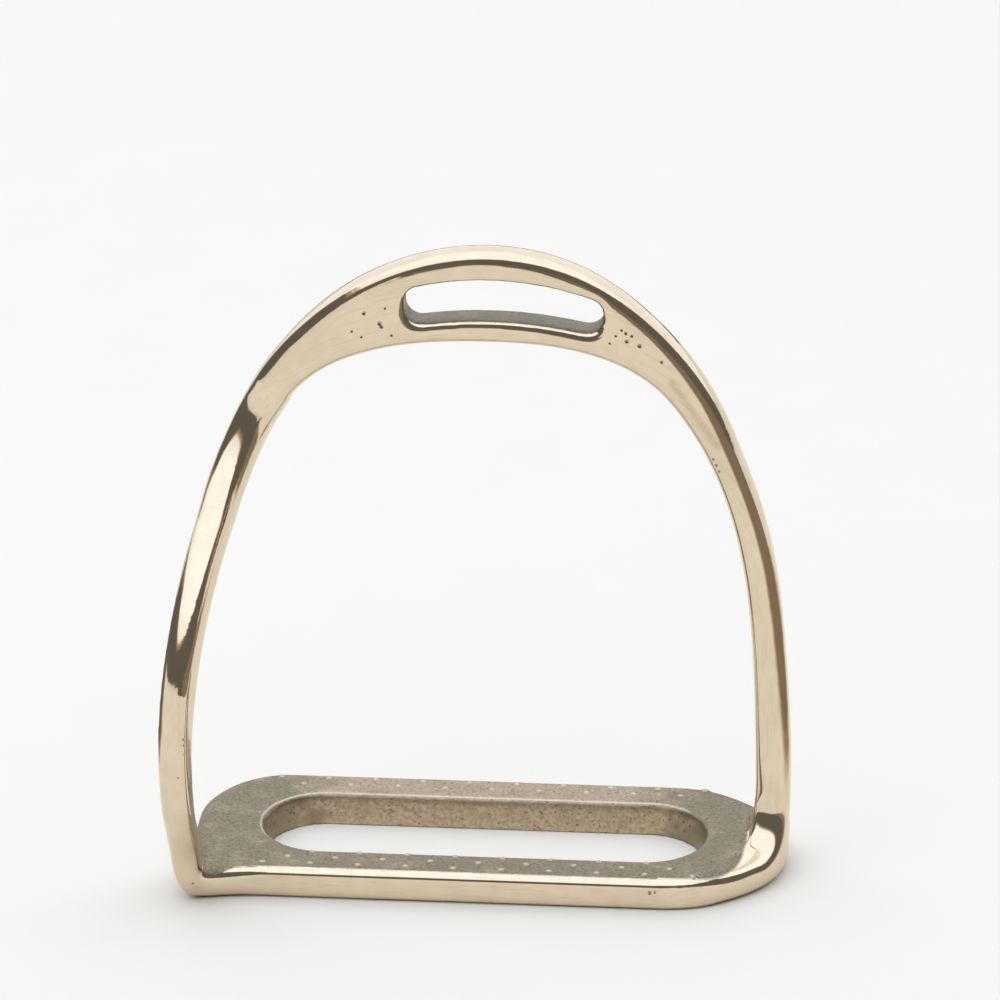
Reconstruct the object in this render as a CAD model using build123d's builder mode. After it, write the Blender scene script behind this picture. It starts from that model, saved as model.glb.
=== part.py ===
"""Bent-leg stirrup iron, 4 3/4 inch size, one casting in nickel silver.

Millimetres. +X runs to the straight branch, -Y is the front, where the bent branch bows
out, and +Z is up. The origin is the middle of the tread slot, on the ground under the tread.

The real iron doesn't come apart. Its crown, two branches and tread are separate solids
here that meet face to face.
"""

import os
from math import cos, pi, radians, sin

from build123d import *

# Tread
TREAD_THICKNESS = 7.2
TREAD_DEPTH = 48.0
TREAD_BEVEL = 1.3
TREAD_BASE_ROUND = 1.2
TREAD_END_X = 40.0  # where the rounded right end starts
TREAD_END_REACH = 27.0  # how far the right end runs past TREAD_END_X
TREAD_BACK_X = -44.0  # where the rounded left end starts, at the back
TREAD_SWELL_X = -45.0  # where the front starts to swell out to meet the heel
SLOT_LENGTH = 99.0
SLOT_WIDTH = 27.6
SLOT_DRAFT = 9.0  # degrees, the slot is narrower underneath

# Raised points that stop the sole slipping
POINT_RADIUS = 1.0
POINT_HEIGHT = 0.5
POINT_PITCH = 10.6

# Bow: crown and straight branch share one front outline
BOW_DEPTH = 7.5
BOW_ROUND = 2.2
CROWN_TOP = 147.7
ARCH_TOP = 126.4
SHOULDER_X = 46.0  # both branches leave the crown here
SHOULDER_Z = 113.2
SHOULDER_SLOPE = radians(58.5)  # below the horizontal
SHOULDER_WIDTH = 9.3

# Eye for the leather
EYE_LEFT = -16.8
EYE_RIGHT = 26.7
EYE_MIDDLE = 2.0  # highest point of its floor and top
EYE_FLOOR = 131.9
EYE_TOP = 141.4
EYE_FLOOR_RADIUS = 95.0
EYE_TOP_RADIUS = 63.0
EYE_CORNER = 3.6
EYE_EDGE_ROUND = 1.0

# Foot of the straight branch
INSIDE_X = 60.3  # inner face of the straight branch
OUTSIDE_X = 68.2
FOOT_CORNER = 4.5  # hollow corner between branch and tread, inside
FOOT_BASE_ROUND = 3.0
FOOT_RIM_ROUND = 2.5
FLARE_RADIUS = 10.0  # hollow corner between branch and tread, front and back
FLARE_WALL = 6.8
FLARE_OVERHANG = 0.9  # how far the foot stands out past the end of the tread

# Bent branch
BRANCH_WIDTH = 6.7
BRANCH_DEPTH = 7.8
BRANCH_ROUND = 2.0
BRANCH_TWIST = radians(26)  # most the front of the branch turns outwards, below the shoulder
BRANCH_X = -64.2  # middle of the branch where it stands on the ground
BRANCH_SECTIONS = 12
HEEL_FRONT = -26.6  # front of the heel on the ground
HEEL_DEPTH = 17.6
HEEL_TOP_FRONT = -28.3  # front of the heel level with the top of the tread
HEEL_TOP_DEPTH = 14.0
CORNER_WIDTH = 6.5  # rounding of the heel's outer bottom corner, seen from the front
CORNER_HEIGHT = 12.0

# Front outline of the bow (x, z): the shoulders, then the sides down to the tread
outer_right_shoulder = [(21.0, 143.7), (38.4, 131.1), (49.4, 116.9)]
outer_left_shoulder = [(-49.4, 116.6), (-38.4, 130.3), (-28.0, 138.8), (-18.0, 143.9)]
inner_right_shoulder = [(27.0, 122.9), (37.6, 116.8), (43.3, 110.2)]
inner_left_shoulder = [(-43.0, 110.2), (-37.6, 116.5), (-27.0, 122.5)]
outer_side = [(56.5, 101.4), (62.8, 82.0), (67.0, 50.0), (OUTSIDE_X, 22.0), (67.6, TREAD_THICKNESS)]
inner_side = [(49.5, 99.6), (55.6, 82.0), (59.5, 53.0), (INSIDE_X, 30.0)]
outer_left_end = (-57.0, 101.4)
inner_left_end = (-48.6, 99.6)

# Middle line of the bent branch (x, y, z), from the shoulder down to where its heel begins
bent_line = [
    (-SHOULDER_X, 0.0, SHOULDER_Z),
    (-50.6, 0.2, 104.6),
    (-55.0, -5.0, 94.2),
    (-59.5, -21.6, 81.0),
    (-62.4, -35.0, 66.5),
    (-64.1, -38.6, 51.0),
    (-64.7, -37.3, 36.0),
    (-64.6, -31.4, 22.0),
]

# Rows of raised points (y, number of points): two on the back bar, three on the front bar
point_rows = [(21.4, 10), (18.4, 9), (-15.2, 8), (-17.8, 9), (-20.8, 10)]

# Left end of the tread (x, y), from its back edge round to the neck behind the heel
left_end = [(-53.5, 21.6), (-60.2, 15.6), (-63.9, 6.4), (-64.3, -3.0), (-63.6, -10.0)]


def shoulder_cut(side):
    """Plane across one shoulder, facing down its branch. side is 1 for right, -1 for left."""
    down_branch = (side * cos(SHOULDER_SLOPE), 0, -sin(SHOULDER_SLOPE))
    return Plane((side * SHOULDER_X, 0, SHOULDER_Z), x_dir=(0, 1, 0), z_dir=down_branch)


def eye_arch(height, radius):
    """Arch across the eye, highest above EYE_MIDDLE."""
    left_drop = radius - (radius**2 - (EYE_LEFT - EYE_MIDDLE) ** 2) ** 0.5
    right_drop = radius - (radius**2 - (EYE_RIGHT - EYE_MIDDLE) ** 2) ** 0.5
    return ThreePointArc(
        (EYE_LEFT, height - left_drop), (EYE_MIDDLE, height), (EYE_RIGHT, height - right_drop)
    )


# Bow: the whole front outline, so that crown and branch run on into each other
with BuildPart() as bow:
    with BuildSketch(Plane.XZ):
        with BuildLine():
            outer = Spline(
                outer_left_end,
                *outer_left_shoulder,
                (0, CROWN_TOP),
                *outer_right_shoulder,
                *outer_side,
            )
            inner = Spline(
                inner_left_end,
                *inner_left_shoulder,
                (0, ARCH_TOP),
                *inner_right_shoulder,
                *inner_side,
            )
            upright = Line(inner @ 1, (INSIDE_X, TREAD_THICKNESS + FOOT_CORNER))
            hollow = RadiusArc(upright @ 1, (INSIDE_X - FOOT_CORNER, TREAD_THICKNESS), FOOT_CORNER)
            Line(hollow @ 1, outer @ 1)
            Line(outer @ 0, inner @ 0)
        make_face()
    extrude(amount=BOW_DEPTH / 2, both=True)
    fillet(bow.edges().filter_by(lambda edge: edge.length > CROWN_TOP), radius=BOW_ROUND)

# Crown with the eye
with BuildPart() as crown_eye:
    add(bow.part)
    split(bisect_by=shoulder_cut(-1), keep=Keep.BOTTOM)
    split(bisect_by=shoulder_cut(1), keep=Keep.BOTTOM)
    with BuildSketch(Plane.XZ):
        with BuildLine():
            floor = eye_arch(EYE_FLOOR, EYE_FLOOR_RADIUS)
            top = eye_arch(EYE_TOP, EYE_TOP_RADIUS)
            Line(floor @ 0, top @ 0)
            Line(floor @ 1, top @ 1)
        eye_face = make_face()
        fillet(eye_face.vertices(), radius=EYE_CORNER)
    extrude(amount=BOW_DEPTH, both=True, mode=Mode.SUBTRACT)
    front_face = crown_eye.faces().sort_by(Axis.Y)[0]
    back_face = crown_eye.faces().sort_by(Axis.Y)[-1]
    fillet(
        front_face.inner_wires()[0].edges() + back_face.inner_wires()[0].edges(),
        radius=EYE_EDGE_ROUND,
    )
crown_eye.part.label = "crown_eye"

# Foot of the straight branch: a collar that follows the rounded end of the tread down to
# the ground and sweeps up into the front and back of the branch
flare_side = BOW_DEPTH / 2 + FLARE_RADIUS
flare_top = TREAD_THICKNESS + FLARE_RADIUS
with BuildPart() as foot:
    with BuildSketch(Plane.XY):
        with Locations((TREAD_END_X, 0)):
            Ellipse(TREAD_END_REACH + FLARE_OVERHANG, TREAD_DEPTH / 2)
            Ellipse(TREAD_END_REACH - FLARE_WALL, TREAD_DEPTH / 2 - FLARE_WALL, mode=Mode.SUBTRACT)
            Rectangle(TREAD_DEPTH, TREAD_DEPTH, align=(Align.MAX, Align.CENTER), mode=Mode.SUBTRACT)
    extrude(amount=flare_top)
    with BuildSketch(Plane.YZ):
        with BuildLine():
            front_corner = (-flare_side, TREAD_THICKNESS)
            back_corner = (flare_side, TREAD_THICKNESS)
            Polyline(front_corner, (-flare_side, 0), (flare_side, 0), back_corner)
            RadiusArc(back_corner, (BOW_DEPTH / 2, flare_top), FLARE_RADIUS)
            Line((BOW_DEPTH / 2, flare_top), (-BOW_DEPTH / 2, flare_top))
            RadiusArc((-BOW_DEPTH / 2, flare_top), front_corner, FLARE_RADIUS)
        make_face()
    extrude(amount=2 * OUTSIDE_X, mode=Mode.INTERSECT)
    outer_base = foot.edges().group_by(Axis.Z)[0].sort_by(Axis.X)[-1]
    fillet(outer_base, radius=FOOT_BASE_ROUND)
    outer_rims = foot.edges().filter_by(
        lambda edge: edge.center().X > INSIDE_X
        and abs(edge.center().Y) > BOW_DEPTH / 2
        and TREAD_THICKNESS < edge.center().Z < flare_top
    )
    fillet(outer_rims, radius=FOOT_RIM_ROUND)

# Straight branch
with BuildPart() as straight_branch:
    add(bow.part)
    split(bisect_by=shoulder_cut(1), keep=Keep.TOP)
    add(foot.part)
straight_branch.part.label = "straight_branch"

# Bent branch: rounded oblong sections set square to the middle line, then a heel that
# spreads front to back and stands on the ground as the corner of the tread
middle = Spline(*bent_line)
branch_outside = BRANCH_X - BRANCH_WIDTH / 2
with BuildPart() as bent_branch:
    with BuildSketch(shoulder_cut(-1)):
        RectangleRounded(BOW_DEPTH, SHOULDER_WIDTH, BOW_ROUND)
    for section in range(1, BRANCH_SECTIONS + 1):
        along = section / BRANCH_SECTIONS
        direction = middle % along
        back = (Vector(0, 1, 0) - direction * direction.Y).normalized()
        twist = BRANCH_TWIST * sin(pi * along**0.7)
        across = back * cos(twist) + direction.cross(back) * sin(twist)
        width = BRANCH_WIDTH + (SHOULDER_WIDTH - BRANCH_WIDTH) * (1 - along) ** 4
        with BuildSketch(Plane(middle @ along, x_dir=across, z_dir=direction)):
            RectangleRounded(BRANCH_DEPTH, width, BRANCH_ROUND)
    for height, front, depth in (
        (TREAD_THICKNESS, HEEL_TOP_FRONT, HEEL_TOP_DEPTH),
        (0, HEEL_FRONT, HEEL_DEPTH),
    ):
        heel_centre = (BRANCH_X, front + depth / 2, height)
        with BuildSketch(Plane(heel_centre, x_dir=(0, 1, 0), z_dir=(0, 0, -1))):
            RectangleRounded(depth, BRANCH_WIDTH, BRANCH_ROUND)
    loft()
    with BuildSketch(Plane.XZ):
        with BuildLine():
            corner = EllipticalCenterArc(
                (branch_outside + CORNER_WIDTH, CORNER_HEIGHT), CORNER_WIDTH, CORNER_HEIGHT, 180
            )
            clear_of_branch = branch_outside - BRANCH_ROUND
            Polyline(
                corner @ 1, (clear_of_branch, 0), (clear_of_branch, CORNER_HEIGHT), corner @ 0
            )
        make_face()
    extrude(amount=2 * TREAD_DEPTH, both=True, mode=Mode.SUBTRACT)
bent_branch.part.label = "bent_branch"

# Tread: flat ring plate with a long slot, cut back to make room for both feet
half_depth = TREAD_DEPTH / 2
with BuildPart() as tread:
    with BuildSketch(Plane.XY):
        with BuildLine():
            swell = Spline(
                (branch_outside + CORNER_WIDTH, HEEL_FRONT),
                (TREAD_SWELL_X, -half_depth),
                tangents=[(1, 0.2), (1, 0)],
            )
            Line(swell @ 1, (TREAD_END_X, -half_depth))
            EllipticalCenterArc((TREAD_END_X, 0), TREAD_END_REACH, half_depth, -90, arc_size=180)
            back = Line((TREAD_END_X, half_depth), (TREAD_BACK_X, half_depth))
            rounded = Spline(back @ 1, *left_end, tangents=[(-1, 0), (0.2, -1)])
            Line(rounded @ 1, swell @ 0)
        make_face()
    extrude(amount=TREAD_THICKNESS)
    chamfer(tread.edges().group_by(Axis.Z)[-1], length=TREAD_BEVEL)
    fillet(tread.edges().group_by(Axis.Z)[0], radius=TREAD_BASE_ROUND)
    with BuildSketch(Plane.XY.offset(TREAD_THICKNESS)):
        SlotOverall(SLOT_LENGTH, SLOT_WIDTH)
    extrude(amount=-TREAD_THICKNESS, taper=SLOT_DRAFT, mode=Mode.SUBTRACT)
    add(bent_branch.part, mode=Mode.SUBTRACT)
    add(straight_branch.part, mode=Mode.SUBTRACT)
    cap_radius = (POINT_RADIUS**2 + POINT_HEIGHT**2) / (2 * POINT_HEIGHT)
    cap_z = TREAD_THICKNESS + POINT_HEIGHT - cap_radius
    for row_y, count in point_rows:
        with Locations((0, row_y, cap_z)):
            with GridLocations(POINT_PITCH, 1, count, 1):
                Sphere(cap_radius)
tread.part.label = "tread"

os.makedirs("parts", exist_ok=True)
export_step(crown_eye.part, "parts/crown_eye.step")
export_step(straight_branch.part, "parts/straight_branch.step")
export_step(bent_branch.part, "parts/bent_branch.step")
export_step(tread.part, "parts/tread.step")
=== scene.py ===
"""Looks of the bent-leg stirrup iron: one nickel silver casting, polished outside, dull on its tread.

The four CAD regions are covered by one continuous skin, so that no seam shows. The skin is then
divided into one closed piece for each region: at the shoulders on the CAD's own planes, and at the
tread on two upright planes a little inside its ends, so that those ends go with the branches.
Metres, frame of the CAD.
"""

from math import cos, radians, sin

import bmesh
import bpy
import numpy as np
from mathutils import Matrix, Vector, noise
from mathutils.bvhtree import BVHTree
from mathutils.kdtree import KDTree


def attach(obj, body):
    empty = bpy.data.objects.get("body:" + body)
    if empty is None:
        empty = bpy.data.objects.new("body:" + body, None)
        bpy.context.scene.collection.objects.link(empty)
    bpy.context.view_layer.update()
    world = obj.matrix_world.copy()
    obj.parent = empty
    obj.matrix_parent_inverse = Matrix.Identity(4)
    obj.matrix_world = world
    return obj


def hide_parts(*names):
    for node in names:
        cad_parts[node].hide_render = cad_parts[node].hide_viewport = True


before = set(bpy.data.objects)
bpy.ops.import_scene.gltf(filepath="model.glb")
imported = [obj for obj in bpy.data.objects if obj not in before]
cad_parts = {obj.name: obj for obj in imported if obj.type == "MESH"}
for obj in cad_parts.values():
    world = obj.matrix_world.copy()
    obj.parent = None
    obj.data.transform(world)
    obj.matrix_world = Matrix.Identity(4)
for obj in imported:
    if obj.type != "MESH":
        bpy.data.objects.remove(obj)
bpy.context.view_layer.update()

MM = 0.001

# Skin
VOXEL = 0.4 * MM
SMOOTH_PASSES = 7  # takes the steps of the voxels off
BLEND_PASSES = 130  # rolls the corners where the parts of the casting run together
WAVE_HEIGHT = 0.035 * MM  # unevenness left by hand polishing
WAVE_LENGTH = 9.0 * MM
CAST_HEIGHT = 0.05 * MM  # roughness of the dull areas
CAST_LENGTH = 1.6 * MM
SMOOTH_BASE = 1.5 * MM  # the skin below this is left even, so that the iron stands flat

# Where the casting is divided
SHOULDER_X = 46.0 * MM
SHOULDER_Z = 113.2 * MM
SHOULDER_SLOPE = radians(58.5)
JOINT_HEIGHT = 30.0 * MM  # below this the skin is divided on upright planes across the tread
LEFT_JOINT_X = -59.0 * MM
RIGHT_JOINT_X = 55.5 * MM

BOW_CENTRE = 60.0 * MM  # height the outline of the bow turns about

# Corners that are rolled. Of each pair, the first is where the rolling starts, the second where
# it is full.
FOOT_HEIGHT = (30 * MM, 18 * MM)
RIGHT_FOOT_X = (49 * MM, 58 * MM)
LEFT_FOOT_X = (-46 * MM, -58 * MM)
LEFT_FOOT_Y = (-5 * MM, -14 * MM)
LEFT_FOOT_SHARE = 0.8
LEFT_SHOULDER_X = (-38 * MM, -45 * MM)
LEFT_SHOULDER_Z = (90 * MM, 104 * MM)
BOW_BOTTOM = 20 * MM
WORN_X = (5 * MM, 40 * MM)
WORN_REACH = (4.2 * MM, 1.2 * MM)  # distance from the outer front edge
SLOT_EDGE_REACH = (1.6 * MM, 0.4 * MM)
SLOT_EDGE_SHARE = 0.35
BRANCH_SHARE = 0.1
BRANCH_HEIGHT = (12 * MM, 104 * MM)  # lowest and highest point of it

# The left shoulder is turned a little outwards: middle line (x, z) and angle along it
TURN_LINE = [
    (0, 137.2),
    (-14, 135.2),
    (-27, 130.8),
    (-38, 123.3),
    (-46, 113.2),
    (-52.6, 100.5),
    (-57, 88),
]
TURN_ANGLES = [0, 0, 2, 5, 9, 6, 0]  # degrees
TURN_STEPS = 300  # points along the middle line
TURN_INSIDE = -8 * MM  # nothing right of this or below TURN_BOTTOM is turned
TURN_BOTTOM = 84 * MM

# Tread
TREAD_TOP = 7.2 * MM
TOP_MARGIN = 0.6 * MM  # highest the rolled edges of the top stand above it
FLAT_TOP_X = 49.5 * MM  # half the length over which the top is flat
GROOVE_X = (-62 * MM, -56.5 * MM)  # narrow groove between tread and heel, filled level
GROOVE_Y = (-25 * MM, -9 * MM)
GROOVE_BOTTOM = 5.4 * MM
TREAD_END_X = 40.0 * MM  # where the rounded right end starts
DULL_REACH = 18.6 * MM  # how far the dull top runs past it, at the front
DULL_HALF_WIDTH = 22.0 * MM
DULL_CORNER_POWER = 3.5  # roundness of its front corner: 2 is an ellipse, more is squarer
DULL_NORMAL = 0.93  # least upward part of the normal of the dull top
DULL_NORMAL_DROP = 0.5  # how much less it has to be where the top rises into the branches
LEFT_RISE_X = (-53 * MM, -58 * MM)
RIGHT_RISE_X = (44 * MM, 52 * MM)
DULL_HEIGHT = (10 * MM, 8.5 * MM)
LOWEST_TOP = 5 * MM
UNDERSIDE = 2 * MM
SLOT_STRAIGHT = 35.7 * MM  # half the straight part of the slot
SLOT_HALF_WIDTH = 13.8 * MM

# Raised points on the tread: rows (y, number of points), as in the CAD
POINT_RADIUS = 1.15 * MM
POINT_HEIGHT = 0.5 * MM
POINT_PITCH = 10.6 * MM
POINT_ROWS = [(21.4, 10), (18.4, 9), (-15.2, 8), (-17.8, 9), (-20.8, 10)]

# Eye: its box, a little larger than its walls
EYE_LEFT = -18.0 * MM
EYE_RIGHT = 28.0 * MM
EYE_MIDDLE = Vector((2.0, 0, 136.9)) * MM
EYE_SAG = 6.2  # how fast the middle line of the eye drops away from EYE_MIDDLE, 1/m
EYE_END = 5 * MM  # length of its round ends
EYE_REACH = 6.2 * MM  # height above and below its middle line that holds its walls

# Casting pits on the faces that look forward: x, z, radius in millimetres
PITS = [
    (-25.4, 133.2, 0.5),
    (-22.0, 130.9, 0.6),
    (-21.6, 130.2, 0.5),
    (-28.1, 128.8, 0.3),
    (-20.8, 134.5, 0.3),
    (-19.4, 128.2, 0.35),
    (-26.0, 127.6, 0.3),
    (30.8, 131.0, 0.35),
    (31.7, 130.3, 0.45),
    (33.0, 129.7, 0.4),
    (31.9, 128.4, 0.5),
    (34.7, 127.4, 0.55),
    (29.5, 129.6, 0.35),
    (28.2, 127.8, 0.3),
    (39.5, 123.7, 0.35),
    (50.7, 100.6, 0.5),
    (51.4, 99.2, 0.55),
    (52.0, 97.8, 0.5),
    (38.5, 4.4, 0.6),
    (39.6, 4.6, 0.4),
    (-62.4, 4.6, 0.45),
    (-63.5, 37.7, 0.35),
    (-62.0, 45.9, 0.3),
    (-62.1, 47.4, 0.3),
    (-62.0, 43.6, 0.25),
]
PIT_DEPTH = 0.16 * MM

# Brown stain along the front of the straight branch, under the shoulder: (x, z) of its ends
STAIN_TOP = Vector((41.7, 118.8)) * MM
STAIN_BOTTOM = Vector((51.6, 104.0)) * MM
STAIN_RADIUS = 1.5 * MM


def smoothstep(low, high, value):
    t = np.clip((value - low) / (high - low), 0, 1)
    return t * t * (3 - 2 * t)


# ---------------------------------------------------------------- casting
def evaluated_mesh(obj):
    graph = bpy.context.evaluated_depsgraph_get()
    return bpy.data.meshes.new_from_object(obj.evaluated_get(graph), depsgraph=graph)


def temporary(name, mesh):
    obj = bpy.data.objects.new(name, mesh)
    bpy.context.scene.collection.objects.link(obj)
    return obj


def coordinates(mesh):
    flat = np.empty(len(mesh.vertices) * 3, np.float32)
    mesh.vertices.foreach_get("co", flat)
    return flat.reshape(-1, 3).astype(float)


def set_coordinates(mesh, points):
    mesh.vertices.foreach_set("co", points.astype(np.float32).ravel())
    mesh.update()


def voxel_skin():
    """The CAD nodes as one closed, evenly meshed surface."""
    bm = bmesh.new()
    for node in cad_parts.values():
        bm.from_mesh(node.data)
    mesh = bpy.data.meshes.new("skin")
    bm.to_mesh(mesh)
    bm.free()
    obj = temporary("skin", mesh)
    remesh = obj.modifiers.new("remesh", "REMESH")
    remesh.mode = "VOXEL"
    remesh.voxel_size = VOXEL
    remesh.adaptivity = 0
    smooth = obj.modifiers.new("smooth", "SMOOTH")
    smooth.factor = 0.5
    smooth.iterations = SMOOTH_PASSES
    result = evaluated_mesh(obj)
    bpy.data.objects.remove(obj)
    return result


def distance_to(chosen, points):
    """How far each point is from the nearest chosen one."""
    places = points[chosen]
    tree = KDTree(len(places))
    for i, place in enumerate(places.tolist()):
        tree.insert(place, i)
    tree.balance()
    return np.array([tree.find(p)[2] for p in points.tolist()])


def blend_share(points, normals):
    """How far each point takes part in rolling the corners: 1 fully, 0 not at all."""
    x, y, z = points.T
    low = smoothstep(*FOOT_HEIGHT, z)
    right_foot = low * smoothstep(*RIGHT_FOOT_X, x)
    left_foot = LEFT_FOOT_SHARE * low * smoothstep(*LEFT_FOOT_X, x) * smoothstep(*LEFT_FOOT_Y, y)
    left_shoulder = smoothstep(*LEFT_SHOULDER_X, x) * smoothstep(*LEFT_SHOULDER_Z, z)
    # the outer front edge of the bow is worn rounder the further it is from the top
    outward = np.column_stack([x, 0 * x, np.clip(z - BOW_CENTRE, 0, None)])
    outward /= np.linalg.norm(outward, axis=1)[:, None]
    facing_out = (outward * normals).sum(1)
    bow = z > BOW_BOTTOM
    edge = bow & (facing_out > 0.3) & (normals[:, 1] < -0.3)
    worn = 0.2 + 0.6 * smoothstep(*WORN_X, np.abs(x))
    worn_edge = worn * bow * smoothstep(*WORN_REACH, distance_to(edge, points))
    slot_edge = SLOT_EDGE_SHARE * smoothstep(*SLOT_EDGE_REACH, np.abs(slot_gap(points)))
    slot_edge = slot_edge * (z > LOWEST_TOP) * (z < TREAD_TOP + 1 * MM)
    # takes the last steps of the voxels off the branches
    branches = BRANCH_SHARE * (z > BRANCH_HEIGHT[0]) * (z < BRANCH_HEIGHT[1])
    return np.maximum.reduce(
        [right_foot, left_foot, left_shoulder, worn_edge, slot_edge, branches]
    )


def slot_gap(points):
    """Distance from the upper edge of the slot: positive outside it."""
    x, y, _ = points.T
    return np.hypot(np.clip(np.abs(x) - SLOT_STRAIGHT, 0, None), y) - SLOT_HALF_WIDTH


def evened(values, passes):
    """The values with each one, apart from the ends, averaged with its neighbours."""
    for _ in range(passes):
        values[1:-1] = (values[:-2] + 2 * values[1:-1] + values[2:]) / 4
    return values


def turned(points):
    """The left shoulder with its front turned outwards about the middle line of the bow."""
    line = np.array(TURN_LINE) * MM
    knots = np.arange(len(line))
    fine = np.linspace(0, len(line) - 1, TURN_STEPS)
    path = np.column_stack([np.interp(fine, knots, line[:, i]) for i in (0, 1)])
    along = evened(np.gradient(path, axis=0), passes=40)
    along /= np.linalg.norm(along, axis=1)[:, None]
    angle = evened(np.radians(np.interp(fine, knots, TURN_ANGLES)), passes=300)
    near = (points[:, 0] < TURN_INSIDE) & (points[:, 2] > TURN_BOTTOM)
    result = points.copy()
    chosen = points[near]
    gaps = ((chosen[:, None, [0, 2]] - path[None]) ** 2).sum(2)
    best = gaps.argmin(1)
    centre = np.column_stack([path[best, 0], 0 * best, path[best, 1]])
    axis = np.column_stack([along[best, 0], 0 * best, along[best, 1]])
    offset = chosen - centre
    turn = angle[best][:, None]
    parallel = axis * (axis * offset).sum(1)[:, None]
    across = offset - parallel
    result[near] = centre + parallel + across * np.cos(turn) + np.cross(axis, across) * np.sin(turn)
    return result


def blended_skin(mesh):
    """The skin with its groove filled, its top flat, its shoulder turned and its corners rolled."""
    points = coordinates(mesh)
    x, y, z = points.T
    by_heel = (x > GROOVE_X[0]) & (x < GROOVE_X[1]) & (y > GROOVE_Y[0]) & (y < GROOVE_Y[1])
    groove = by_heel & (z > GROOVE_BOTTOM) & (z < TREAD_TOP)
    points[groove, 2] = TREAD_TOP
    flat_top = (points[:, 2] > TREAD_TOP) & (points[:, 2] < TREAD_TOP + TOP_MARGIN)
    points[flat_top & (np.abs(points[:, 0]) < FLAT_TOP_X), 2] = TREAD_TOP
    set_coordinates(mesh, points)
    obj = temporary("blend", mesh)
    group = obj.vertex_groups.new(name="blend")
    share = blend_share(points, np.array([v.normal for v in mesh.vertices]))
    set_coordinates(mesh, turned(points))
    for step in range(1, 11):
        chosen = np.nonzero((share > (step - 1) / 10) & (share <= step / 10))[0]
        group.add(chosen.tolist(), step / 10, "REPLACE")
    smooth = obj.modifiers.new("smooth", "SMOOTH")
    smooth.factor = 0.5
    smooth.iterations = BLEND_PASSES
    smooth.vertex_group = "blend"
    result = evaluated_mesh(obj)
    bpy.data.objects.remove(obj)
    return result


def eye_share(points, normals):
    """1 on the walls of the eye."""
    x, y, z = points.T
    middle_z = EYE_MIDDLE.z - EYE_SAG * (x - EYE_MIDDLE.x) ** 2
    from_right_end = np.where(x > EYE_RIGHT - EYE_END, -normals[:, 0], 0)
    from_end = np.where(x < EYE_LEFT + EYE_END, normals[:, 0], from_right_end)
    facing_in = (middle_z - z) * normals[:, 2] + from_end * 3 * MM
    near = (x > EYE_LEFT) & (x < EYE_RIGHT) & (np.abs(middle_z - z) < EYE_REACH)
    return near * (facing_in > 0) * smoothstep(0.62, 0.3, np.abs(normals[:, 1]))


def dull_share(points, normals):
    """1 where the casting was never polished: top and underside of the tread, slot walls, eye."""
    x, y, z = points.T
    rise = np.maximum(smoothstep(*LEFT_RISE_X, x), smoothstep(*RIGHT_RISE_X, x))
    limit = DULL_NORMAL - DULL_NORMAL_DROP * rise
    up = smoothstep(limit, limit + 0.05, normals[:, 2]) * smoothstep(*DULL_HEIGHT, z)
    past_end = np.clip(x - TREAD_END_X, 0, None) / DULL_REACH
    across = np.abs(y / DULL_HALF_WIDTH)
    corner = (past_end**DULL_CORNER_POWER + across**DULL_CORNER_POWER) ** (1 / DULL_CORNER_POWER)
    front_corner = (x > TREAD_END_X) & (y < 0)
    up = up * (z > LOWEST_TOP) * np.where(front_corner, smoothstep(1.02, 0.98, corner), 1)
    under = smoothstep(0.9, 0.985, -normals[:, 2]) * (z < UNDERSIDE)
    wall = smoothstep(0.9 * MM, 0.3 * MM, slot_gap(points))
    wall = wall * (z < TREAD_TOP + TOP_MARGIN)
    return np.maximum.reduce([up, under, wall, eye_share(points, normals)])


def vertex_noise(points, length):
    """Smooth noise between -1 and 1 at each point, with bumps about as wide as length."""
    return np.array([noise.noise(p) for p in (points / length).tolist()])


def uneven(mesh):
    """Hand polishing leaves shallow waves, and the dull areas keep the grain of the mould.

    What is dull is read from the smooth skin and kept on the mesh, before the grain is added.
    """
    points = coordinates(mesh)
    normals = np.array([v.normal for v in mesh.vertices])
    dull = dull_share(points, normals)
    height = WAVE_HEIGHT * vertex_noise(points, WAVE_LENGTH) * (1 - dull)
    height += CAST_HEIGHT * vertex_noise(points, CAST_LENGTH) * dull
    height *= points[:, 2] > SMOOTH_BASE
    set_coordinates(mesh, points + normals * height[:, None])
    layer = mesh.attributes.new("dull", "FLOAT", "POINT")
    layer.data.foreach_set("value", dull.astype(np.float32))


def shoulder_plane(side):
    down_branch = Vector((side * cos(SHOULDER_SLOPE), 0, -sin(SHOULDER_SLOPE)))
    return Vector((side * SHOULDER_X, 0, SHOULDER_Z)), down_branch


def cut(bm, point, normal, chosen):
    """Divides the chosen faces along a plane."""
    faces = [f for f in bm.faces if chosen(f.calc_center_median())]
    edges = {e for f in faces for e in f.edges}
    verts = {v for f in faces for v in f.verts}
    bmesh.ops.bisect_plane(
        bm, geom=[*verts, *edges, *faces], dist=1e-7, plane_co=point, plane_no=normal
    )


def piece_of(centre):
    """Name of the CAD node that a face with this centre belongs to."""
    if centre.z < JOINT_HEIGHT:
        if centre.x < LEFT_JOINT_X:
            return "bent_branch"
        return "straight_branch" if centre.x > RIGHT_JOINT_X else "tread"
    for side, name in ((-1, "bent_branch"), (1, "straight_branch")):
        point, down_branch = shoulder_plane(side)
        if (centre - point).dot(down_branch) > 0 and centre.x * side > 0:
            return name
    return "crown_eye"


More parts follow.
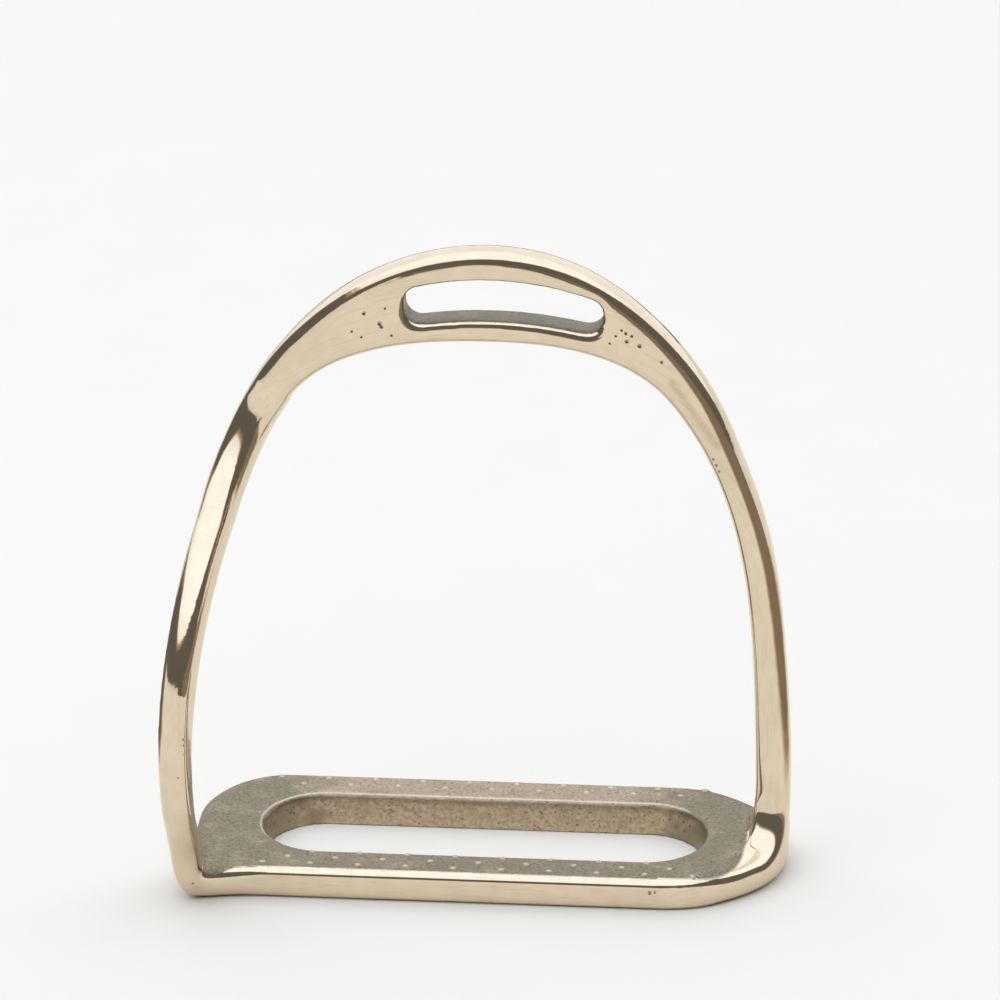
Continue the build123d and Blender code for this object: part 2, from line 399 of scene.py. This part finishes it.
def stamps(bm):
    """Places of the raised points and of the pits: centre, direction, radius, height."""
    tree = BVHTree.FromBMesh(bm)
    places = []
    up = Vector((0, 0, 1))
    for row_y, count in POINT_ROWS:
        for i in range(count):
            place = Vector(((i - (count - 1) / 2) * POINT_PITCH, row_y * MM, TREAD_TOP))
            left = 0.75 + 0.5 * noise.noise(place * 400)  # share the wear has left
            places.append((place, up, POINT_RADIUS, POINT_HEIGHT * left))
    for x, z, radius in PITS:
        start = Vector((x * MM, -100 * MM, z * MM))
        hit, direction, _, _ = tree.ray_cast(start, Vector((0, 1, 0)))
        if hit is not None:
            places.append((hit, direction, radius * MM * 1.2, -PIT_DEPTH))
    return places


def press_stamps(bm):
    """Meshes the places finely, then raises the points and sinks the pits."""
    stain_and_shade = bm.verts.layers.float.new("stain_and_shade")
    bright = bm.verts.layers.float.new("bright")
    places = stamps(bm)
    centres = np.array([f.calc_center_median() for f in bm.faces])
    faces = list(bm.faces)
    chosen = set()
    for centre, _, radius, _ in places:
        close = np.nonzero(((centres - np.array(centre)) ** 2).sum(1) < (radius + VOXEL) ** 2)[0]
        chosen.update(close.tolist())
    edges = {e for i in chosen for e in faces[i].edges}
    bmesh.ops.subdivide_edges(bm, edges=list(edges), cuts=2, use_grid_fill=True)
    points = np.array([v.co for v in bm.verts])
    verts = list(bm.verts)
    for centre, direction, radius, height in places:
        distance = np.sqrt(((points - np.array(centre)) ** 2).sum(1))
        for i in np.nonzero(distance < radius)[0]:
            vert = verts[i]
            if vert.normal.dot(direction) < 0.5:
                continue
            share = (1 - (distance[i] / radius) ** 2) ** 2
            vert.co += direction * height * share
            # the pits are marked to be coloured dark
            if height < 0:
                vert[stain_and_shade] = max(vert[stain_and_shade], share)
            else:
                vert[bright] = max(vert[bright], share)
                # painted shade: a darker ring on the sides of each raised point
                vert[stain_and_shade] = max(vert[stain_and_shade], 1.3 * share * (1 - share))


def stain_share(points):
    """1 along the brown stain on the front of the straight branch."""
    line = np.array(STAIN_BOTTOM - STAIN_TOP)
    flat = points[:, [0, 2]] - np.array(STAIN_TOP)
    along = np.clip(flat @ line / (line @ line), 0, 1)
    distance = np.linalg.norm(flat - along[:, None] * line, axis=1)
    return smoothstep(STAIN_RADIUS, 0, distance) * (points[:, 1] < 0)


def build_piece(name, skin, outlines, material):
    """One named piece of the casting, closed where it meets its neighbours."""
    points, normals, values = skin
    used = np.unique(np.concatenate(outlines))
    new_index = np.full(len(points), -1)
    new_index[used] = np.arange(len(used))
    mesh = bpy.data.meshes.new(name)
    mesh.from_pydata(points[used].tolist(), [], [new_index[f].tolist() for f in outlines])
    bm = bmesh.new()
    bm.from_mesh(mesh)
    bmesh.ops.edgeloop_fill(bm, edges=[e for e in bm.edges if e.is_boundary])
    bmesh.ops.recalc_face_normals(bm, faces=bm.faces)
    bm.to_mesh(mesh)
    bm.free()
    mesh.shade_smooth()
    loops = np.empty(len(mesh.loops), int)
    mesh.loops.foreach_get("vertex_index", loops)
    loop_normals = normals[used][loops]
    for cap in list(mesh.polygons)[len(outlines) :]:
        loop_normals[cap.loop_start : cap.loop_start + cap.loop_total] = cap.normal
    mesh.normals_split_custom_set(loop_normals.tolist())
    for key, value in values.items():
        layer = mesh.attributes.new(key, "FLOAT", "POINT")
        layer.data.foreach_set("value", value[used].astype(np.float32))
    mesh.materials.append(material)
    obj = temporary(name + "_skin", mesh)
    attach(obj, "root")
    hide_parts(name)


def casting(material):
    """Builds the skin, divides it and makes its four pieces."""
    mesh = blended_skin(voxel_skin())
    uneven(mesh)
    bm = bmesh.new()
    bm.from_mesh(mesh)
    bm.normal_update()
    press_stamps(bm)
    for side in (-1, 1):
        point, down_branch = shoulder_plane(side)
        cut(bm, point, down_branch, lambda c: c.z > JOINT_HEIGHT and c.x * side > 0)
    for joint_x in (LEFT_JOINT_X, RIGHT_JOINT_X):
        cut(bm, Vector((joint_x, 0, 0)), Vector((1, 0, 0)), lambda c: c.z < JOINT_HEIGHT)
    bm.normal_update()
    bm.verts.index_update()
    points = np.array([v.co for v in bm.verts])
    normals = np.array([v.normal for v in bm.verts])
    layers = bm.verts.layers.float
    dull, bright, pits = (
        np.array([v[layers[key]] for v in bm.verts]) for key in ("dull", "bright", "stain_and_shade")
    )
    values = {
        "dull": dull * (1 - 0.5 * smoothstep(0.2, 0.7, bright)),
        # darkening: the brown stain on the straight branch is real; the pits are coloured dark; the
        # ring round each raised point is painted shade
        "stain_and_shade": np.maximum(0.8 * smoothstep(0.05, 0.7, pits), 0.4 * stain_share(points)),
        "eye": eye_share(points, normals),
    }
    outlines = {}
    for face in bm.faces:
        name = piece_of(face.calc_center_median())
        outlines.setdefault(name, []).append(np.array([v.index for v in face.verts]))
    bm.free()
    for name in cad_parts:
        build_piece(name, (points, normals, values), outlines[name], material)


# ---------------------------------------------------------------- materials
def node(tree, kind, inputs=None, **settings):
    new = tree.nodes.new(kind)
    for key, value in settings.items():
        setattr(new, key, value)
    for key, value in (inputs or {}).items():
        if isinstance(value, bpy.types.NodeSocket):
            tree.links.new(value, new.inputs[key])
        else:
            new.inputs[key].default_value = value
    return new


def maths(tree, operation, *values):
    return node(tree, "ShaderNodeMath", dict(enumerate(values)), operation=operation).outputs[0]


def span(tree, value, low, high, to_low=0.0, to_high=1.0):
    inputs = {"Value": value, "From Min": low, "From Max": high, "To Min": to_low, "To Max": to_high}
    ranged = node(tree, "ShaderNodeMapRange", inputs, interpolation_type="SMOOTHSTEP")
    return ranged.outputs["Result"]


def mix(tree, factor, a, b):
    new = node(tree, "ShaderNodeMix", {"Factor": factor}, data_type="RGBA")
    for key, value in ((6, a), (7, b)):
        if isinstance(value, bpy.types.NodeSocket):
            tree.links.new(value, new.inputs[key])
        else:
            new.inputs[key].default_value = (*value, 1)
    return new.outputs[2]


def noise_at(tree, vector, scale, detail=2.0, roughness=0.5):
    inputs = {"Vector": vector, "Scale": scale, "Detail": detail, "Roughness": roughness}
    return node(tree, "ShaderNodeTexNoise", inputs).outputs["Fac"]


# Colours of the metal, linear
POLISH_PALE = (0.82, 0.72, 0.575)
POLISH_WARM = (0.775, 0.675, 0.525)
LINE_BROWN = (0.60, 0.48, 0.36)
OLIVE_DARK = (0.19, 0.168, 0.115)
OLIVE_PALE = (0.30, 0.262, 0.18)
PINK_DARK = (0.36, 0.29, 0.21)
PINK_PALE = (0.52, 0.425, 0.32)
# painted light: paler copies of the dull skin's colours, for its upright faces such as the slot walls
LIT_WALL_OLIVE = (0.36, 0.31, 0.225)
LIT_WALL_PINK = (0.80, 0.66, 0.50)
WALL_BROWN = (0.40, 0.33, 0.24)
WALL_DARK = (0.12, 0.10, 0.07)
SPECK_DARK = (0.10, 0.09, 0.06)
# painted shade inside the eye
EYE_SHADE_GREY = (0.21, 0.20, 0.165)
STAIN_AND_SHADE_PALE = (0.42, 0.30, 0.21)
PIT_DARK = (0.15, 0.12, 0.085)
BUMP_DEPTH = 0.09 * MM


def nickel_silver():
    """One metal in two states: polished, and dull as it came from the mould."""
    mat = bpy.data.materials.new("nickel_silver")
    mat.use_nodes = True
    tree = mat.node_tree
    tree.nodes.clear()
    place = node(tree, "ShaderNodeTexCoord").outputs["Object"]
    dull = node(tree, "ShaderNodeAttribute", attribute_name="dull").outputs["Fac"]
    stain_and_shade = node(tree, "ShaderNodeAttribute", attribute_name="stain_and_shade").outputs["Fac"]
    eye = node(tree, "ShaderNodeAttribute", attribute_name="eye").outputs["Fac"]

    # polishing lines run along the bow
    axes = node(tree, "ShaderNodeSeparateXYZ", {"Vector": place})
    x, y, z = (axes.outputs[i] for i in range(3))
    over_centre = maths(tree, "SUBTRACT", z, BOW_CENTRE)
    rise = maths(tree, "MAXIMUM", over_centre, 0.0)
    below = maths(tree, "MINIMUM", over_centre, 0.0)
    turn = maths(tree, "ARCTAN2", rise, x)
    along = maths(tree, "MULTIPLY_ADD", below, 0.06, maths(tree, "MULTIPLY", turn, 0.004))
    across = maths(tree, "MULTIPLY", x, x)
    radius = maths(tree, "SQRT", maths(tree, "ADD", maths(tree, "MULTIPLY", rise, rise), across))
    bow_place = node(tree, "ShaderNodeCombineXYZ", {0: along, 1: radius, 2: y})
    stretch = {0: place, 1: (0.08, 1.0, 1.0)}
    bar_place = node(tree, "ShaderNodeVectorMath", stretch, operation="MULTIPLY")
    on_bow = span(tree, z, 0.008, 0.014)
    line_place = node(tree, "ShaderNodeMix", {"Factor": on_bow}, data_type="VECTOR")
    tree.links.new(bar_place.outputs[0], line_place.inputs[4])
    tree.links.new(bow_place.outputs[0], line_place.inputs[5])
    lines = noise_at(tree, line_place.outputs[1], 1800.0, 3.0, 0.6)

    blotch = noise_at(tree, place, 170.0, 4.0, 0.6)
    fine = noise_at(tree, place, 1400.0, 3.0, 0.6)
    specks = node(tree, "ShaderNodeTexVoronoi", {"Vector": place, "Scale": 900.0}).outputs["Distance"]
    speck_hole = span(tree, specks, 0.12, 0.3, 1.0, 0.0)
    speckled = span(tree, noise_at(tree, place, 330.0), 0.46, 0.58)
    speck_share = maths(tree, "MULTIPLY", speck_hole, speckled)

    # polished metal, with fewer lines on the bent branch
    polished = mix(tree, span(tree, blotch, 0.35, 0.65), POLISH_PALE, POLISH_WARM)
    line_share = span(tree, x, -0.056, -0.046, 0.12, 0.4)
    line_share = maths(tree, "MULTIPLY", line_share, span(tree, lines, 0.5, 0.75))
    polished = mix(tree, line_share, polished, LINE_BROWN)

    # dull casting skin: olive, turning pinkish along the back bar; its upright faces, such as the
    # slot walls, are painted paler as painted light, with real brown streaks and dark grains
    grain_share = span(tree, fine, 0.3, 0.7)
    olive = mix(tree, grain_share, OLIVE_DARK, OLIVE_PALE)
    pinkish = mix(tree, grain_share, PINK_DARK, PINK_PALE)
    in_middle = span(tree, maths(tree, "ABSOLUTE", x), 0.030, 0.046, 1.0, 0.0)
    along_back = maths(tree, "MULTIPLY", span(tree, y, -0.004, 0.012), in_middle)
    warm_share = maths(tree, "MULTIPLY", along_back, 0.32)
    warm_share = maths(tree, "ADD", maths(tree, "MULTIPLY", blotch, 0.9), warm_share)
    dull_colour = mix(tree, span(tree, warm_share, 0.38, 0.82), olive, pinkish)
    normal = node(tree, "ShaderNodeNewGeometry").outputs["Normal"]
    facing = node(tree, "ShaderNodeSeparateXYZ", {"Vector": normal})
    # upright dull faces get the paler colours, which are painted light
    upright_light_share = span(tree, maths(tree, "ABSOLUTE", facing.outputs["Z"]), 0.25, 0.7, 1.0, 0.0)
    wall_grain_and_light = mix(tree, span(tree, warm_share, 0.40, 0.72), LIT_WALL_OLIVE, LIT_WALL_PINK)
    coarse = noise_at(tree, place, 1100.0, 4.0, 0.7)
    wall_grain_and_light = mix(tree, span(tree, coarse, 0.30, 0.72, 0.0, 0.8), wall_grain_and_light, WALL_BROWN)
    wall_grain_and_light = mix(tree, span(tree, coarse, 0.62, 0.72, 0.0, 0.7), wall_grain_and_light, WALL_DARK)
    dull_colour = mix(tree, upright_light_share, dull_colour, wall_grain_and_light)
    dull_colour = mix(tree, maths(tree, "MULTIPLY", speck_share, 0.7), dull_colour, SPECK_DARK)
    # painted shade: the walls of the eye are painted a darker grey
    dull_colour = mix(tree, maths(tree, "MULTIPLY", eye, 0.6), dull_colour, EYE_SHADE_GREY)

    colour = mix(tree, dull, polished, dull_colour)
    # brown stain on the straight branch, dark pits, and painted shade round the raised points
    stain_and_shade_here = maths(tree, "MULTIPLY", stain_and_shade, span(tree, fine, 0.3, 0.6, 0.5, 1.0))
    stain_and_shade_colour = mix(tree, span(tree, stain_and_shade, 0.4, 0.65), STAIN_AND_SHADE_PALE, PIT_DARK)
    colour = mix(tree, stain_and_shade_here, colour, stain_and_shade_colour)

    rough = span(tree, dull, 0.0, 1.0, 0.055, 0.42)
    rough = maths(tree, "ADD", rough, span(tree, lines, 0.4, 0.8, 0.0, 0.08))
    rough = maths(tree, "ADD", rough, maths(tree, "MULTIPLY", stain_and_shade, 0.25))
    grain = maths(tree, "SUBTRACT", fine, maths(tree, "MULTIPLY", speck_share, 1.2))
    grain = maths(tree, "MULTIPLY", grain, span(tree, dull, 0, 1, 0.015, 1.0))
    scratches = maths(tree, "MULTIPLY", lines, span(tree, dull, 0, 1, 0.06, 0.25))
    relief = maths(tree, "ADD", grain, scratches)
    bump = node(tree, "ShaderNodeBump", {"Height": relief, "Distance": BUMP_DEPTH, "Strength": 0.7})
    shader = node(
        tree,
        "ShaderNodeBsdfPrincipled",
        {"Base Color": colour, "Metallic": 1.0, "Roughness": rough, "Normal": bump.outputs["Normal"]},
    )
    node(tree, "ShaderNodeOutputMaterial", {"Surface": shader.outputs["BSDF"]})
    return mat


# ---------------------------------------------------------------- studio
SKY_LOW = (1.10, 1.10, 1.14)
SKY_HIGH = (1.27, 1.33, 1.42)
RING_DARK = (0.135, 0.13, 0.115)
RING_EDGE = (0.42, 0.27, 0.17)
BACKDROP = (0.96, 0.96, 0.955)
RING_HEIGHT = 0.38  # height of the dark ring at the sides, as the upward part of a direction
RING_FRONT = -0.3  # change of its height from front to back
RING_RIGHT = 0.2
RING_LEFT = 0.27


def studio_world():
    """What the metal mirrors above the floor: a dark ring round the horizon under a bright sky.

    The camera sees a pale backdrop instead.
    """
    world = bpy.data.worlds.new("studio")
    bpy.context.scene.world = world
    world.use_nodes = True
    tree = world.node_tree
    tree.nodes.clear()
    direction = node(tree, "ShaderNodeTexCoord").outputs["Generated"]
    axes = node(tree, "ShaderNodeSeparateXYZ", {"Vector": direction})
    x, y, z = (axes.outputs[i] for i in range(3))
    right = maths(tree, "MAXIMUM", x, 0.0)
    left = maths(tree, "MAXIMUM", maths(tree, "MULTIPLY", x, -1.0), 0.0)
    behind = maths(tree, "MAXIMUM", y, 0.0)
    front = maths(tree, "MAXIMUM", maths(tree, "MULTIPLY", y, -1.0), 0.0)
    limit = maths(tree, "MULTIPLY_ADD", y, RING_FRONT, RING_HEIGHT)
    limit = maths(tree, "MULTIPLY_ADD", right, RING_RIGHT, limit)
    limit = maths(tree, "ADD", limit, span(tree, left, 0.6, 0.85, 0.0, RING_LEFT))
    # the ring is higher or lower in each quarter round the iron
    for side, end, change in (
        (right, behind, -0.8),
        (right, front, 0.22),
        (left, behind, -0.6),
        (left, front, -0.5),
    ):
        limit = maths(tree, "MULTIPLY_ADD", maths(tree, "MULTIPLY", side, end), change, limit)
    above = maths(tree, "SUBTRACT", z, limit)
    bright = mix(tree, span(tree, z, 0.45, 0.8), SKY_LOW, SKY_HIGH)
    dark = mix(tree, span(tree, above, -0.05, 0.02), RING_DARK, RING_EDGE)
    sky = mix(tree, span(tree, above, 0.02, 0.09), dark, bright)
    seen = node(tree, "ShaderNodeLightPath").outputs["Is Camera Ray"]
    shown = mix(tree, seen, sky, BACKDROP)
    background = node(tree, "ShaderNodeBackground", {"Color": shown, "Strength": 1.0})
    node(tree, "ShaderNodeOutputWorld", {"Surface": background.outputs["Background"]})


PAPER = ((0.860, 0.845, 0.800), (0.875, 0.860, 0.815))
MIRRORED_PAPER = ((0.80, 0.75, 0.66), (0.86, 0.80, 0.71))
MIRRORED_FALL_OFF_SHADE = (0.42, 0.29, 0.19)
ROOM_SHADE_FRONT_LEFT = (0.13, 0.12, 0.10)
ROOM_SHADE_RIGHT = (0.24, 0.18, 0.125)
FLOOR_RADIUS = 30.0


def pale_floor():
    """White paper. What the metal mirrors of it is painted warmer, with painted shade that falls off
    to a dark room.
    """
    mesh = bpy.data.meshes.new("floor")
    bm = bmesh.new()
    bmesh.ops.create_circle(bm, cap_ends=True, segments=96, radius=FLOOR_RADIUS)
    bm.to_mesh(mesh)
    bm.free()
    mat = bpy.data.materials.new("pale_floor")
    mat.use_nodes = True
    tree = mat.node_tree
    shader = tree.nodes["Principled BSDF"]
    shader.inputs["Roughness"].default_value = 0.9
    shader.inputs["Specular IOR Level"].default_value = 0.1
    place = node(tree, "ShaderNodeTexCoord").outputs["Object"]
    axes = node(tree, "ShaderNodeSeparateXYZ", {"Vector": place})
    x, y = axes.outputs[0], axes.outputs[1]
    to_left = maths(tree, "MULTIPLY_ADD", y, 0.43, maths(tree, "MULTIPLY", x, -0.9))
    near = span(tree, y, 0.2, 0.32, 1.0, 0.0)
    beside = span(tree, maths(tree, "MULTIPLY_ADD", x, 0.9, y), -0.09, 0.0, 1.0, 0.0)
    straight_behind = span(tree, maths(tree, "MULTIPLY_ADD", y, 0.3, x), -0.065, -0.035)
    left = maths(tree, "MAXIMUM", maths(tree, "MAXIMUM", near, beside), straight_behind)
    left = maths(tree, "MULTIPLY", left, span(tree, to_left, 0.10, 0.15))
    left = maths(tree, "MULTIPLY", left, span(tree, y, -0.12, 0.02))
    right = maths(tree, "MULTIPLY", span(tree, x, 0.085, 0.18), span(tree, y, 0.03, 0.2, 1.0, 0.0))
    straight_ahead = span(tree, maths(tree, "MULTIPLY_ADD", y, -0.3, x), 0.0, 0.1)
    front = maths(tree, "MULTIPLY", span(tree, y, -0.9, -0.5, 1.0, 0.0), straight_ahead)
    dark = maths(tree, "MAXIMUM", maths(tree, "MAXIMUM", left, right), front)
    grain = noise_at(tree, place, 40.0)
    paper = mix(tree, grain, *PAPER)
    lit = mix(tree, span(tree, noise_at(tree, place, 14.0), 0.3, 0.7), *MIRRORED_PAPER)
    # painted shade, seen only in the metal: brown fall-off, then the dark of the room
    lit = mix(tree, span(tree, dark, 0.0, 0.5), lit, MIRRORED_FALL_OFF_SHADE)
    deep = mix(tree, right, ROOM_SHADE_FRONT_LEFT, ROOM_SHADE_RIGHT)
    mirrored = mix(tree, span(tree, dark, 0.35, 0.9), lit, deep)
    glossy = node(tree, "ShaderNodeLightPath").outputs["Is Glossy Ray"]
    tree.links.new(mix(tree, glossy, paper, mirrored), shader.inputs["Base Color"])
    mesh.materials.append(mat)
    obj = temporary("floor", mesh)


SOFTBOX_PLACE = (-0.5, -0.2, 2.0)
SOFTBOX_SIZE = 1.2
SOFTBOX_WATTS = 5


def softbox():
    """Weak lamp overhead, for a soft shadow. The metal doesn't mirror it."""
    lamp = bpy.data.lights.new("softbox", "AREA")
    lamp.energy = SOFTBOX_WATTS
    lamp.size = SOFTBOX_SIZE
    obj = bpy.data.objects.new("softbox", lamp)
    obj.location = SOFTBOX_PLACE
    obj.visible_glossy = False
    obj.rotation_euler = (-obj.location).to_track_quat("-Z", "Y").to_euler()
    bpy.context.scene.collection.objects.link(obj)


CAMERA_PLACE = (0.1770, -1.9808, 1.0148)
CAMERA_RIGHT = Vector((0.99619, 0.08716, 0))
CAMERA_UP = Vector((-0.0368, 0.4210, 0.9063))
CAMERA_ROLL = 0.00524
CAMERA_LENS = 360
CAMERA_SENSOR = 36
CAMERA_REACH = 100


def camera():
    """Long lens in front of the iron, a little to its right and looking down on it."""
    data = bpy.data.cameras.new("camera")
    data.lens = CAMERA_LENS
    data.sensor_width = CAMERA_SENSOR
    data.clip_end = CAMERA_REACH
    obj = bpy.data.objects.new("camera", data)
    bpy.context.scene.collection.objects.link(obj)
    right = (CAMERA_RIGHT - CAMERA_UP * CAMERA_ROLL).normalized()
    up = (CAMERA_UP + CAMERA_RIGHT * CAMERA_ROLL).normalized()
    turn = Matrix((right, up, right.cross(up))).transposed()
    obj.matrix_world = Matrix.Translation(CAMERA_PLACE) @ turn.to_4x4()
    bpy.context.scene.camera = obj


casting(nickel_silver())
studio_world()
pale_floor()
softbox()
camera()
bpy.context.scene.view_settings.view_transform = "Standard"
